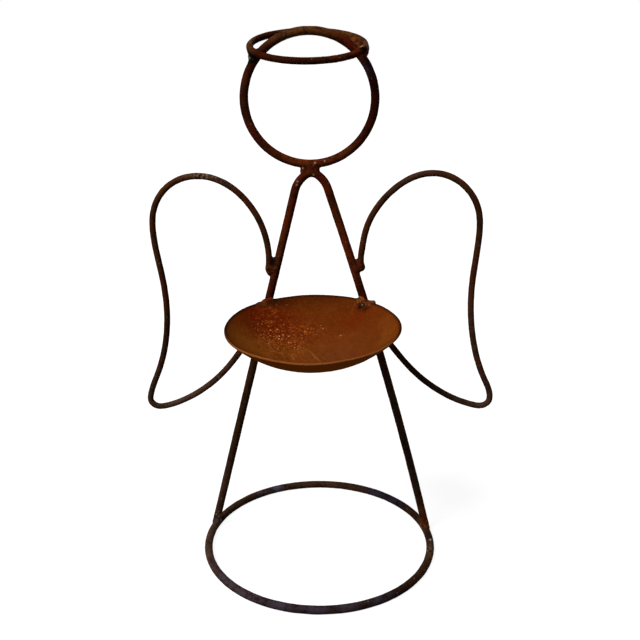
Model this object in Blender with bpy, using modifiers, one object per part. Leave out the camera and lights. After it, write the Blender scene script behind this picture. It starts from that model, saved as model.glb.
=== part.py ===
# Winged candle holder: an angel bent from round steel rod, carrying a pressed dish for a candle.
# Metres, +Z up, its front towards -Y. The origin is on the floor, in the middle of the footprint.
# Lengths below are measured from the centre of the base ring, and heights from its underside.
import math

import bmesh
import bpy
import numpy as np
from mathutils import Euler, Matrix, Vector

mm = 0.001

# Stock, and the clearance kept between pieces that touch
main_rod = 5.2 * mm
thin_rod = 4.0 * mm
dish_sheet = 1.2 * mm
gap = 0.3 * mm

# Base ring, to the middle of its rod
base_ring_radius = 75.0 * mm

# Body rod: two legs and a small pointed arch, in an upright plane behind the ring's centre
body_setback = 18.0 * mm
crown_height = 249.9 * mm
crown_shift = -5.8 * mm
crown_radius = 6.2 * mm
shoulder_radius = 17.0 * mm
crown_turn = math.radians(35)
left_leg_bow = 0.1 * mm
right_leg_bow = 2.8 * mm

# Head ring, slightly flattened by hand, to the middle of its rod
head_half_width = 39.0 * mm
head_half_height = 38.5 * mm
head_shift = -1.3 * mm

# Halo ring: it hugs the head ring at this angle round it, and its centre lies behind those points
halo_contact_turn = math.radians(42.5)
halo_shift = -1.25 * mm
halo_backset = 4.1 * mm
halo_tilt = math.radians(12.4)

# Dish: a shallow bowl with a small flat floor, pushed back between the legs
dish_radius = 51.4 * mm
dish_depth = 20.2 * mm
dish_height = 167.7 * mm
dish_floor_radius = 15.0 * mm
dish_tilt = math.radians(3.4)
dish_roll = math.radians(0.9)

# Wings: how far above and below the dish's rim each rod ends on its leg,
# and the way between as (clear of the leg, above the rim)
left_wing_rise = 22.3 * mm
left_wing_drop = 21.7 * mm
left_wing_way = [
    (0.8, 26.8), (2.9, 33.8), (10.2, 48.6), (20.9, 62.0), (34.1, 72.6), (49.2, 78.9), (64.0, 78.8),
    (75.3, 71.6), (79.9, 58.7), (77.6, 43.8), (65.8, 13.4), (57.1, -18.3), (56.6, -49.5),
    (58.8, -66.4), (57.9, -71.4), (54.2, -74.8), (46.0, -74.7), (32.3, -68.3), (20.7, -58.8),
    (11.5, -46.6), (4.2, -31.7),
]
right_wing_rise = 23.5 * mm
right_wing_drop = 20.7 * mm
right_wing_way = [
    (0.8, 27.3), (3.6, 34.3), (11.3, 48.9), (22.7, 62.4), (36.6, 73.5), (51.8, 81.1), (65.8, 82.4),
    (77.7, 76.3), (83.3, 61.1), (79.0, 43.5), (66.6, 12.8), (58.5, -19.4), (58.6, -51.6),
    (59.4, -63.9), (57.6, -67.9), (54.7, -70.1), (45.4, -70.0), (32.1, -64.2), (20.7, -55.3),
    (11.6, -44.0), (4.1, -29.8),
]

# Weld beads: half lengths along the joint, half heights across it, half depths front to back
neck_bead = (5.9 * mm, 4.6 * mm, 2.8 * mm)
neck_bead_shift = -0.9 * mm
left_halo_bead = (4.2 * mm, 3.9 * mm, 3.8 * mm)
right_halo_bead = (4.8 * mm, 4.2 * mm, 4.4 * mm)
wing_foot_bead = (6.5 * mm, 3.8 * mm, 2.8 * mm)
left_wing_top_bead = (6.4 * mm, 3.8 * mm, 2.8 * mm)
right_wing_top_bead = (4.8 * mm, 3.9 * mm, 2.8 * mm)
foot_bead = (3.8 * mm, 3.6 * mm, 3.6 * mm)
left_dish_bead = (4.6 * mm, 2.6 * mm, 3.2 * mm)
right_dish_bead = (5.6 * mm, 2.6 * mm, 3.3 * mm)

# Where they sit: the halo's beads beyond where it touches, down on the left and up on the right,
# the foot's beads inwards, and the dish's beads outwards along the rim and below its edge
left_halo_bead_turn = math.radians(5.4)
right_halo_bead_turn = math.radians(3.2)
halo_bead_out = 3.6 * mm
right_halo_bead_setback = 1.5 * mm
foot_bead_shift = 0.4 * mm
left_dish_bead_shift = 6.0 * mm
right_dish_bead_shift = 4.4 * mm
dish_bead_drop = 0.5 * mm

# Facets of the round work
ring_sides = 14
thin_ring_sides = 10
ring_steps = 64
dish_steps = 56
bead_sides = 14
bead_rings = 9

# Sizes that follow from those above
main_half = main_rod / 2
thin_half = thin_rod / 2
ring_height = main_half * math.cos(math.pi / ring_sides)
foot_reach = math.sqrt(base_ring_radius**2 - body_setback**2)
head_center = Vector((
    crown_shift + head_shift, body_setback, crown_height + main_rod + gap + head_half_height))


def steel(name, color, roughness, metallic):
    material = bpy.data.materials.new(name)
    material.use_nodes = True
    shader = material.node_tree.nodes["Principled BSDF"]
    shader.inputs["Base Color"].default_value = (*color, 1.0)
    shader.inputs["Roughness"].default_value = roughness
    shader.inputs["Metallic"].default_value = metallic
    return material


def clear_scene():
    for thing in list(bpy.data.objects):
        bpy.data.objects.remove(thing, do_unlink=True)


def collection(name):
    group = bpy.data.collections.new(name)
    bpy.context.scene.collection.children.link(group)
    return group


def body_point(x, z):
    return Vector((x, body_setback, z))


def smooth_line(points, steps=12):
    """A natural cubic spline through the points, as steps pieces between each pair."""
    knots = np.array(points, dtype=float)
    runs = np.linalg.norm(np.diff(knots, axis=0), axis=1)
    count = len(knots)
    system = np.eye(count)
    change = np.zeros_like(knots)
    for i in range(1, count - 1):
        system[i, i - 1] = runs[i - 1]
        system[i, i] = 2 * (runs[i - 1] + runs[i])
        system[i, i + 1] = runs[i]
        slope_after = (knots[i + 1] - knots[i]) / runs[i]
        slope_before = (knots[i] - knots[i - 1]) / runs[i - 1]
        change[i] = 3 * (slope_after - slope_before)
    bend = np.linalg.solve(system, change)
    line = []
    for i in range(count - 1):
        run = runs[i]
        slope = (knots[i + 1] - knots[i]) / run - run * (2 * bend[i] + bend[i + 1]) / 3
        cubic = (bend[i + 1] - bend[i]) / (3 * run)
        for s in np.linspace(0, run, steps, endpoint=False):
            line.append(knots[i] + slope * s + bend[i] * s**2 + cubic * s**3)
    line.append(knots[-1])
    return [Vector(point) for point in line]


def thin_out(line, turn=math.radians(9), run=14 * mm):
    """Keep a point where the line has turned or run on far enough since the last one kept."""
    kept = [line[0]]
    heading = line[1] - line[0]
    for point, after in zip(line[1:-1], line[2:]):
        ahead = after - point
        far = (point - kept[-1]).length > run
        if far or heading.angle(ahead) > turn:
            kept.append(point)
            heading = ahead
    kept.append(line[-1])
    return kept


def leg_ends(side):
    """The leg's foot, and where it leaves its shoulder bend, as (x, z) in the body's plane."""
    lean = math.atan2(foot_reach, crown_height)
    foot = Vector((side * foot_reach, ring_height + main_half + gap + main_half * math.sin(lean)))
    top = Vector((crown_shift, crown_height - crown_radius))
    bend = Vector((side * math.sin(crown_turn), math.cos(crown_turn)))
    shoulder = top - (shoulder_radius - crown_radius) * bend
    down = foot - shoulder
    around = math.atan2(down.y, down.x) + side * math.acos(shoulder_radius / down.length)
    leave = shoulder + shoulder_radius * Vector((math.cos(around), math.sin(around)))
    return foot, leave, shoulder, top


def leg_x(side, z):
    """The leg's axis at a height, with its bow, and straight on above the shoulder."""
    foot, leave, _, _ = leg_ends(side)
    t = (z - foot.y) / (leave.y - foot.y)
    bow = left_leg_bow if side < 0 else right_leg_bow
    return foot.x + t * (leave.x - foot.x) + side * bow * 4 * t * max(0.0, 1 - t)


def leg_lean(side):
    foot, leave, _, _ = leg_ends(side)
    return math.atan2(abs(leave.x - foot.x), leave.y - foot.y)


def half_body(side, steps=14):
    """One half of the body rod, from the crown down over the shoulder to the foot."""
    foot, leave, shoulder, top = leg_ends(side)
    half = []
    for i in range(steps + 1):
        turn = crown_turn * i / steps
        half.append(body_point(
            top.x + side * crown_radius * math.sin(turn), top.y + crown_radius * math.cos(turn)))
    across = (leave - shoulder).x * side
    last = math.atan2(across, (leave - shoulder).y)
    for i in range(1, steps + 1):
        turn = crown_turn + (last - crown_turn) * i / steps
        half.append(body_point(
            shoulder.x + side * shoulder_radius * math.sin(turn),
            shoulder.y + shoulder_radius * math.cos(turn)))
    for i in range(1, steps + 1):
        z = leave.y + (foot.y - leave.y) * i / steps
        half.append(body_point(leg_x(side, z), z))
    return half


def body_line():
    left = half_body(-1)
    right = half_body(1)
    return thin_out(left[::-1] + right[1:], run=24 * mm)


def wing_ends(side):
    """The heights at which the wing's rod meets its leg."""
    rise = left_wing_rise if side < 0 else right_wing_rise
    drop = left_wing_drop if side < 0 else right_wing_drop
    return dish_height + rise, dish_height - drop


def wing_line(side, way):
    """The wing rod's axis: it touches its leg at both ends and keeps clear of it between."""
    touch = (main_half + thin_half + gap) / math.cos(leg_lean(side))
    top, foot = wing_ends(side)
    stops = [(out * mm, dish_height + up * mm) for out, up in way]
    stops = [(0.0, top)] + stops + [(0.0, foot)]
    knots = [body_point(leg_x(side, z) + side * (touch + out), z) for out, z in stops]
    return thin_out(smooth_line(knots))


def head_point(turn, out=0.0):
    """A point of the head ring's axis at an angle from its right, moved straight out from it."""
    normal = Vector((math.cos(turn) / head_half_width, 0, math.sin(turn) / head_half_height))
    on_ring = Vector((head_half_width * math.cos(turn), 0, head_half_height * math.sin(turn)))
    return head_center + on_ring + out * normal.normalized()


def halo_place():
    """The halo's centre and radius: its right side touches the head ring, as seen from above."""
    contact = head_point(halo_contact_turn, main_half + thin_half + gap)
    half_chord = contact.x - head_center.x - halo_shift
    radius = math.hypot(half_chord, halo_backset)
    center = Vector((
        head_center.x + halo_shift,
        body_setback + halo_backset * math.cos(halo_tilt),
        contact.z + halo_backset * math.sin(halo_tilt)))
    return center, radius


def dish_curve():
    """The upper face's wall: its radius, its centre above the rim, and its turns from upright."""
    level = (dish_radius**2 - dish_floor_radius**2 - dish_depth**2) / (2 * dish_depth)
    radius = math.hypot(dish_radius, level)
    rim_turn = math.atan2(dish_radius, level)
    floor_turn = math.atan2(dish_floor_radius, level + dish_depth)
    return radius, level, rim_turn, floor_turn


def dish_place():
    """The middle of the dish's rim: its back edge, raised by the tilt, touches both legs."""
    outer_edge = dish_radius + dish_sheet * math.sin(dish_curve()[2])
    reach = outer_edge + main_half + gap
    back = reach
    for _ in range(4):
        edge = dish_height + back * math.tan(dish_tilt)
        left = leg_x(-1, edge)
        right = leg_x(1, edge)
        back = math.sqrt(reach**2 - ((right - left) / 2) ** 2)
    return Vector(((left + right) / 2, body_setback - back, dish_height))


def adopt(thing, group, material=None, smooth=True):
    for home in list(thing.users_collection):
        home.objects.unlink(thing)
    group.objects.link(thing)
    if material:
        thing.data.materials.clear()
        thing.data.materials.append(material)
    if smooth and thing.type == "MESH":
        thing.data.shade_smooth()
        thing.data.set_sharp_from_angle(angle=math.radians(40))
    return thing


def rod(name, line, diameter, closed=False):
    curve = bpy.data.curves.new(name, "CURVE")
    curve.dimensions = "3D"
    curve.bevel_depth = diameter / 2
    curve.bevel_resolution = 3
    curve.use_fill_caps = True
    spline = curve.splines.new("POLY")
    spline.points.add(len(line) - 1)
    for knot, point in zip(spline.points, line):
        knot.co = (*point, 1.0)
    spline.use_cyclic_u = closed
    thing = bpy.data.objects.new(name, curve)
    bpy.context.scene.collection.objects.link(thing)
    return thing


def as_mesh(thing):
    """The same rod as a closed mesh, its caps welded on, so that it can cut."""
    bpy.context.view_layer.update()
    graph = bpy.context.evaluated_depsgraph_get()
    mesh = bpy.data.meshes.new_from_object(thing.evaluated_get(graph))
    shape = bmesh.new()
    shape.from_mesh(mesh)
    bmesh.ops.remove_doubles(shape, verts=shape.verts, dist=0.001 * mm)
    shape.to_mesh(mesh)
    shape.free()
    solid = bpy.data.objects.new(thing.name, mesh)
    solid.matrix_world = thing.matrix_world
    bpy.context.scene.collection.objects.link(solid)
    bpy.data.objects.remove(thing, do_unlink=True)
    return solid


def ring(name, center, radius, diameter, sides, tilt=0.0):
    bpy.ops.mesh.primitive_torus_add(
        major_radius=radius, minor_radius=diameter / 2, major_segments=ring_steps,
        minor_segments=sides, location=center, rotation=(tilt, 0, 0))
    thing = bpy.context.object
    thing.name = name
    return thing


def dish(name, grow=0.0):
    """The bowl's upper face, turned from its floor to its rim, then thickened downwards."""
    curve_radius, level, rim_turn, floor_turn = dish_curve()
    turns = np.linspace(rim_turn + grow / curve_radius, floor_turn, 9)
    radius = curve_radius - grow
    profile = [(radius * math.sin(t), level - radius * math.cos(t)) for t in turns]
    profile.append((0.0, profile[-1][1]))
    shape = bmesh.new()
    corners = [shape.verts.new((x, 0, z)) for x, z in profile]
    for a, b in zip(corners, corners[1:]):
        shape.edges.new((a, b))
    mesh = bpy.data.meshes.new(name)
    shape.to_mesh(mesh)
    shape.free()
    thing = bpy.data.objects.new(name, mesh)
    bpy.context.scene.collection.objects.link(thing)
    turned = thing.modifiers.new("turned", "SCREW")
    turned.steps = dish_steps
    turned.render_steps = dish_steps
    turned.use_merge_vertices = True
    turned.merge_threshold = 0.01 * mm
    pressed = thing.modifiers.new("pressed", "SOLIDIFY")
    pressed.thickness = dish_sheet + 2 * grow
    pressed.offset = 1.0
    thing.location = dish_place()
    thing.rotation_euler = Euler((dish_tilt, -dish_roll, 0))
    return thing


def weld(name, center, halves, turn, group, material, cutters, face=0.0):
    """A bead of filler: a round lump, cut away round each rod or rim that it joins.
    Its length lies at an angle from +X in the body's plane, then turned about the upright."""
    shape = bmesh.new()
    bmesh.ops.create_uvsphere(
        shape, u_segments=bead_sides, v_segments=bead_rings, radius=1.0)
    length, height, depth = halves
    swing = Matrix.Rotation(face, 4, "Z") @ Matrix.Rotation(-turn, 4, "Y")
    size = Matrix.Diagonal((length, depth, height, 1.0))
    bmesh.ops.transform(shape, matrix=swing @ size, verts=shape.verts)
    mesh = bpy.data.meshes.new(name)
    shape.to_mesh(mesh)
    shape.free()
    bead = bpy.data.objects.new(name, mesh)
    bead.location = center
    bpy.context.scene.collection.objects.link(bead)
    adopt(bead, group, material)
    for cutter in cutters:
        cut = bead.modifiers.new("clear_of_" + cutter.name, "BOOLEAN")
        cut.operation = "DIFFERENCE"
        cut.solver = "EXACT"
        cut.object = cutter
    return bead


def make_rods(group, steels, cut_group):
    """The six rod pieces, each with a cutter of the same line, thicker by the clearance."""
    center, halo_radius = halo_place()
    ring_turns = [2 * math.pi * i / ring_steps for i in range(ring_steps)]
    head_line = [head_point(turn) for turn in ring_turns]
    left_line = wing_line(-1, left_wing_way)
    right_line = wing_line(1, right_wing_way)
    floor_center = Vector((0, 0, ring_height))
    makers = {
        "base_ring": lambda name, size: ring(
            name, floor_center, base_ring_radius, size, ring_sides),
        "body_rod": lambda name, size: rod(name, body_line(), size),
        "head_ring": lambda name, size: rod(name, head_line, size, closed=True),
        "halo_ring": lambda name, size: ring(
            name, center, halo_radius, size, thin_ring_sides, halo_tilt),
        "wing_left": lambda name, size: rod(name, left_line, size),
        "wing_right": lambda name, size: rod(name, right_line, size),
    }
    stock = {"halo_ring": thin_rod, "wing_left": thin_rod, "wing_right": thin_rod}
    cutters = {}
    for name, make in makers.items():
        size = stock.get(name, main_rod)
        adopt(make(name, size), group, steels["thin" if name in stock else "main"])
        cutter = make(name + "_clearance", size + 2 * gap)
        if cutter.type == "CURVE":
            cutter = as_mesh(cutter)
        cutters[name] = hide_cutter(adopt(cutter, cut_group, smooth=False))
    return cutters


def hide_cutter(cutter):
    cutter.hide_render = True
    cutter.display_type = "WIRE"
    return cutter


def make_welds(group, material, cutters):
    def bead(name, center, halves, turn, joined, face=0.0):
        near = [cutters[key] for key in joined]
        weld(name, center, halves, turn, group, material, near, face)

    neck_z = crown_height + main_half + gap / 2
    bead("neck_weld", body_point(head_center.x + neck_bead_shift, neck_z), neck_bead, 0.0,
         ("body_rod", "head_ring"))
    sides = (
        (-1, "left", left_halo_bead, left_wing_top_bead, left_dish_bead),
        (1, "right", right_halo_bead, right_wing_top_bead, right_dish_bead),
    )
    for side, word, halo_bead, wing_top_bead, dish_bead in sides:
        leg = math.pi / 2 + side * leg_lean(side)
        foot = leg_ends(side)[0]
        at = body_point(foot.x - side * foot_bead_shift, foot.y + gap)
        bead("foot_weld_" + word, at, foot_bead, leg, ("body_rod", "base_ring"))

        turn = halo_contact_turn + right_halo_bead_turn
        back = right_halo_bead_setback
        if side < 0:
            turn = math.pi - halo_contact_turn + left_halo_bead_turn
            back = 0.0
        at = head_point(turn, halo_bead_out) + Vector((0, back, 0))
        bead("halo_weld_" + word, at, halo_bead, turn, ("head_ring", "halo_ring"))

        inset = (main_half + gap / 2) / math.cos(leg_lean(side))
        for place, z, halves in zip(("top", "foot"), wing_ends(side), (wing_top_bead, wing_foot_bead)):
            x = leg_x(side, z) + side * inset
            bead("wing_%s_weld_%s" % (place, word), body_point(x, z), halves, leg,
                 ("body_rod", "wing_" + word))

        rim = dish_place()
        rim_back = dish_height + (body_setback - rim.y) * math.tan(dish_tilt)
        toward = Vector((leg_x(side, rim_back) - rim.x, body_setback - rim.y, 0))
        along = left_dish_bead_shift if side < 0 else right_dish_bead_shift
        face = math.atan2(toward.y, toward.x) - math.pi / 2 - side * along / dish_radius
        reach = Matrix.Rotation(face, 3, "Z") @ Vector((0, dish_radius + gap / 2, 0))
        rise = math.tan(dish_tilt) * reach.y + math.tan(dish_roll) * reach.x - dish_bead_drop
        bead("dish_weld_" + word, rim + reach + Vector((0, 0, rise)), dish_bead, 0.0,
             ("body_rod", "dish"), face)


def stand_on_origin(things):
    """Hang everything on one empty, and move it so that the footprint's middle is the origin."""
    bpy.context.view_layer.update()
    graph = bpy.context.evaluated_depsgraph_get()
    low = np.full(3, np.inf)
    high = np.full(3, -np.inf)
    for thing in things:
        seen = thing.evaluated_get(graph)
        mesh = seen.to_mesh()
        spots = np.array([seen.matrix_world @ corner.co for corner in mesh.vertices])
        seen.to_mesh_clear()
        low = np.minimum(low, spots.min(axis=0))
        high = np.maximum(high, spots.max(axis=0))
    stand = bpy.data.objects.new("stand", None)
    bpy.context.scene.collection.objects.link(stand)
    for thing in list(bpy.data.objects):
        if thing is not stand:
            thing.parent = stand
    stand.location = (-(low[0] + high[0]) / 2, -(low[1] + high[1]) / 2, -low[2])
    bpy.context.view_layer.update()


def main():
    clear_scene()
    group = collection("winged_candle_holder")
    cut_group = collection("clearances")
    steels = {
        "main": steel("rusted_rod", (0.085, 0.026, 0.012), 0.55, 0.45),
        "thin": steel("rusted_thin_rod", (0.075, 0.028, 0.014), 0.55, 0.45),
        "dish": steel("rusted_sheet", (0.15, 0.04, 0.012), 0.5, 0.35),
        "weld": steel("weld_metal", (0.10, 0.032, 0.015), 0.6, 0.4),
    }
    cutters = make_rods(group, steels, cut_group)
    adopt(dish("dish"), group, steels["dish"])
    cutters["dish"] = hide_cutter(adopt(dish("dish_clearance", gap), cut_group, smooth=False))
    make_welds(group, steels["weld"], cutters)
    stand_on_origin(list(group.objects))


if __name__ == "__main__":
    main()
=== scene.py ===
import itertools
import math

import bpy
import numpy as np
from mathutils import Matrix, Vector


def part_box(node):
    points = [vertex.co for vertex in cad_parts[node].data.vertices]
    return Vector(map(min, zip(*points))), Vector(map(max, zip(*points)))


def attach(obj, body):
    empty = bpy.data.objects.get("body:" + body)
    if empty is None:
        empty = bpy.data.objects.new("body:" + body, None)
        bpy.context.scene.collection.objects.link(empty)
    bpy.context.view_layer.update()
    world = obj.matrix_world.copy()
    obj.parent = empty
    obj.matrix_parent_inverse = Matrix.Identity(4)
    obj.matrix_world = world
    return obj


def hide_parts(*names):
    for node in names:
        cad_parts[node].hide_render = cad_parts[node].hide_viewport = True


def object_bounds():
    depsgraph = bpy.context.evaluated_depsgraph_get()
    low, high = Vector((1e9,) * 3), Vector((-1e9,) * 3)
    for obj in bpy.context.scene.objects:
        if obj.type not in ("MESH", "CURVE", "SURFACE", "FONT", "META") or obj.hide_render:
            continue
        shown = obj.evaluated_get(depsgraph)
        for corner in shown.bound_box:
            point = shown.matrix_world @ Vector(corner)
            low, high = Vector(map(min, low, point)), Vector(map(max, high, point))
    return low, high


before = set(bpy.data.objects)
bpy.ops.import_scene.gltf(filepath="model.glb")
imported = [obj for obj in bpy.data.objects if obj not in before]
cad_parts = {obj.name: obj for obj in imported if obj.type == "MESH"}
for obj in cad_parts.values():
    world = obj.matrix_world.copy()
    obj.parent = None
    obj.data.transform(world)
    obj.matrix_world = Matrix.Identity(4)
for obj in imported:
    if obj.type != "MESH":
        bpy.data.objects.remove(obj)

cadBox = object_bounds()
mm = 0.001

# The middle of the base ring, on the floor: every length below is measured from it
ringLow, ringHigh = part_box("base_ring")
hub = np.array([(ringLow.x + ringHigh.x) / 2, (ringLow.y + ringHigh.y) / 2, 0.0])

stock = {"mainRadius": 2.6 * mm, "thinRadius": 2.0 * mm, "gap": 0.3 * mm}
mesh = {
    "step": 0.55 * mm, "mainAround": 36, "thinAround": 30,
    "ringPoints": 2000, "legPoints": 200, "arcPoints": 60, "splinePoints": 24,
}


# Plain helpers

def srgb(red, green, blue):
    # a screen colour as the linear one that Blender's sockets take
    part = np.array([red, green, blue]) / 255
    linear = np.where(part <= 0.04045, part / 12.92, ((part + 0.055) / 1.055) ** 2.4)
    return (*linear.tolist(), 1.0)


def unit(vectors):
    return vectors / np.linalg.norm(vectors, axis=-1, keepdims=True)


def smooth(low, high, value):
    # 0 below low, 1 above high, and 3t^2 - 2t^3 between them
    t = np.clip((value - low) / (high - low), 0, 1)
    return t * t * (3 - 2 * t)


def lumps(points, size, seed):
    # a smooth random field from -1 to 1: random numbers on a lattice of that size, blended between
    cells = 32
    lattice = np.random.default_rng(seed).uniform(-1, 1, (cells, cells, cells))
    place = points / size
    low = np.floor(place).astype(int)
    t = place - low
    t = t * t * (3 - 2 * t)
    total = np.zeros(points.shape[:-1])
    for corner in itertools.product((0, 1), repeat=3):
        share = np.prod(np.where(np.array(corner) == 1, t, 1 - t), axis=-1)
        at = (low + np.array(corner)) % cells
        total += share * lattice[at[..., 0], at[..., 1], at[..., 2]]
    return total


def relief(points, size, height, seed, shows=None):
    # lumps of that size and height in mm; with shows, only their tops, between its two levels
    field = lumps(points, size * mm, seed)
    return height * mm * (smooth(*shows, field) if shows else field)


def evenSteps(path, step, closed=False):
    # the same path with its points evenly spaced along it
    if closed:
        path = np.vstack([path, path[:1]])
    runs = np.linalg.norm(np.diff(path, axis=0), axis=1)
    along = np.concatenate([[0], np.cumsum(runs)])
    count = int(round(along[-1] / step)) + 1
    stops = np.linspace(0, along[-1], count)
    even = np.stack([np.interp(stops, along, path[:, i]) for i in range(3)], axis=1)
    return even[:-1] if closed else even


def naturalSpline(knots, steps):
    # a natural cubic spline through the knots: on each run, a + b s + c s^2 + d s^3
    knots = np.array(knots, dtype=float)
    runs = np.linalg.norm(np.diff(knots, axis=0), axis=1)
    count = len(knots)
    system = np.eye(count)
    change = np.zeros_like(knots)
    slopes = np.diff(knots, axis=0) / runs[:, None]
    for i in range(1, count - 1):
        system[i, i - 1:i + 2] = (runs[i - 1], 2 * (runs[i - 1] + runs[i]), runs[i])
        change[i] = 3 * (slopes[i] - slopes[i - 1])
    bend = np.linalg.solve(system, change)
    run = runs[:, None]
    slope = slopes - run * (2 * bend[:-1] + bend[1:]) / 3
    cubic = (bend[1:] - bend[:-1]) / (3 * run)
    s = (np.arange(steps) / steps)[None, :, None] * run[:, :, None]
    parts = (knots[:-1, None] + slope[:, None] * s + bend[:-1, None] * s**2
             + cubic[:, None] * s**3)
    return np.vstack([parts.reshape(-1, 3), knots[-1:]])


def closedMesh(name, grid, rowsMeet=False, masks=None):
    # a skin over rows and columns of points; the columns meet, and the rows meet or end in poles
    rows, columns = grid.shape[:2]
    index = np.arange(rows * columns).reshape(rows, columns)
    quads = np.stack([index, np.roll(index, -1, 1), np.roll(np.roll(index, -1, 1), -1, 0),
                      np.roll(index, -1, 0)], axis=-1)
    points = grid.reshape(-1, 3)
    fans = []
    if not rowsMeet:
        quads = quads[:-1]
        poles = np.stack([grid[0].mean(axis=0), grid[-1].mean(axis=0)])
        points = np.vstack([points, poles])
        first, last = rows * columns, rows * columns + 1
        start = [np.roll(index[0], -1), index[0], np.full(columns, first)]
        end = [index[-1], np.roll(index[-1], -1), np.full(columns, last)]
        fans = np.vstack([np.stack(start, axis=-1), np.stack(end, axis=-1)]).tolist()
    faces = quads.reshape(-1, 4)
    corners = points[faces]
    volume = np.einsum("ij,ij->i", corners[:, 0], np.cross(corners[:, 1], corners[:, 2])).sum()
    volume += np.einsum("ij,ij->i", corners[:, 0], np.cross(corners[:, 2], corners[:, 3])).sum()
    faces = faces.tolist() + fans
    if volume < 0:
        faces = [face[::-1] for face in faces]
    data = bpy.data.meshes.new(name)
    placed = np.clip(points + hub, np.array(cadBox[0]), np.array(cadBox[1]))
    data.from_pydata(placed.tolist(), [], faces)
    for mask, values in (masks or {}).items():
        flat = np.asarray(values, dtype=np.float32).reshape(-1)
        if not rowsMeet:
            ends = [np.mean(values[0]), np.mean(values[-1])]
            flat = np.concatenate([flat, np.array(ends, dtype=np.float32)])
        data.attributes.new(mask, "FLOAT", "POINT").data.foreach_set("value", flat)
    data.shade_smooth()
    piece = bpy.data.objects.new(name, data)
    bpy.context.scene.collection.objects.link(piece)
    return piece


def finishPiece(piece, paint, slot, *nodes):
    piece.data.materials.append(paint)
    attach(piece, "root")
    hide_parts(*nodes)
    print("made", piece.name, len(piece.data.polygons), "faces")
    return piece


# Shader maths

class Wire:
    # a number in a material, so that sums on it are written as in Python
    def __init__(self, paint, socket):
        self.paint = paint
        self.socket = socket

    def do(self, operation, first, second):
        return self.paint.node("Math", {"operation": operation}, {0: first, 1: second})

    def __add__(self, other):
        return self.do("ADD", self, other)

    def __radd__(self, other):
        return self.do("ADD", other, self)

    def __sub__(self, other):
        return self.do("SUBTRACT", self, other)

    def __rsub__(self, other):
        return self.do("SUBTRACT", other, self)

    def __mul__(self, other):
        return self.do("MULTIPLY", self, other)

    def __rmul__(self, other):
        return self.do("MULTIPLY", other, self)

    def clip(self):
        return self.do("MINIMUM", self.do("MAXIMUM", self, 0.0), 1.0)


class Nodes:
    # the node tree of a material or of the world
    def __init__(self, owner):
        owner.use_nodes = True
        self.tree = owner.node_tree

    def node(self, kind, settings=None, inputs=None, output=0):
        made = self.tree.nodes.new("ShaderNode" + kind)
        for key, value in (settings or {}).items():
            setattr(made, key, value)
        for key, value in (inputs or {}).items():
            self.feed(made.inputs[key], value)
        return Wire(self, made.outputs[output])

    def feed(self, socket, value):
        if isinstance(value, Wire):
            self.tree.links.new(value.socket, socket)
        else:
            socket.default_value = value


class Paint(Nodes):
    # a finish on metal, with patterns that stay in place on the object
    def __init__(self, name):
        self.material = bpy.data.materials.new(name)
        super().__init__(self.material)
        self.shader = self.tree.nodes["Principled BSDF"]
        self.place = self.node("TexCoord", output="Object")

    def noise(self, size, detail=3.0, rough=0.55, warp=0.0):
        # cloudy noise around 0.5, with clouds of about that size
        return self.node("TexNoise", None, {
            "Vector": self.place, "Scale": 1 / size, "Detail": detail,
            "Roughness": rough, "Distortion": warp})

    def cells(self, size):
        # distance to the nearest of scattered points, 0 at a point
        return self.node("TexVoronoi", None, {"Vector": self.place, "Scale": 1 / size})

    def cellTone(self, size):
        # a random number for each cell
        color = self.node("TexVoronoi", None, {"Vector": self.place, "Scale": 1 / size}, "Color")
        return self.node("SeparateColor", None, {0: color})

    def step(self, value, low, high):
        # 0 below low, 1 above high, smooth between
        return self.node("MapRange", {"interpolation_type": "SMOOTHSTEP"}, {
            "Value": value, "From Min": low, "From Max": high})

    def mask(self, name):
        return self.node("Attribute", {"attribute_name": name}, None, "Fac")

    def blend(self, share, first, second):
        # from the first colour to the second
        return self.node("Mix", {"data_type": "RGBA"}, {0: share, 6: first, 7: second}, 2)

    def height(self, value, distance):
        self.feed(self.shader.inputs["Normal"], self.node("Bump", None, {
            "Height": value, "Distance": distance, "Strength": 1.0}))

    def dress(self, color, roughness, gloss):
        self.feed(self.shader.inputs["Base Color"], color)
        self.feed(self.shader.inputs["Roughness"], roughness)
        self.shader.inputs["Specular IOR Level"].default_value = gloss
        return self.material


# The rods' tones, as screen colours

# Besides rust, the darkest tone also paints shade, the palest ones paint glints, the blue-grey one
# paints a sheen, and the ashen and golden ones also paint light on shaded parts
rodLook = {
    "deep": (22, 7, 3), "brown": (57, 22, 8), "red": (72, 18, 4), "low": (46, 27, 14),
    "golden": (92, 56, 24), "ashAndPaintedLight": (72, 52, 41), "sootAndShade": (12, 5, 3), "fleckAndGlint": (172, 138, 112),
    "paintedSheen": (78, 76, 98), "bright": (98, 36, 10), "paintedGlint": (208, 178, 152),
}
thinLook = dict(rodLook, deep=(26, 13, 7), brown=(60, 35, 19), red=(66, 30, 13), low=(50, 32, 20))
haloLook = dict(rodLook, deep=(24, 9, 4), brown=(55, 24, 11), red=(60, 20, 7))


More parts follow.
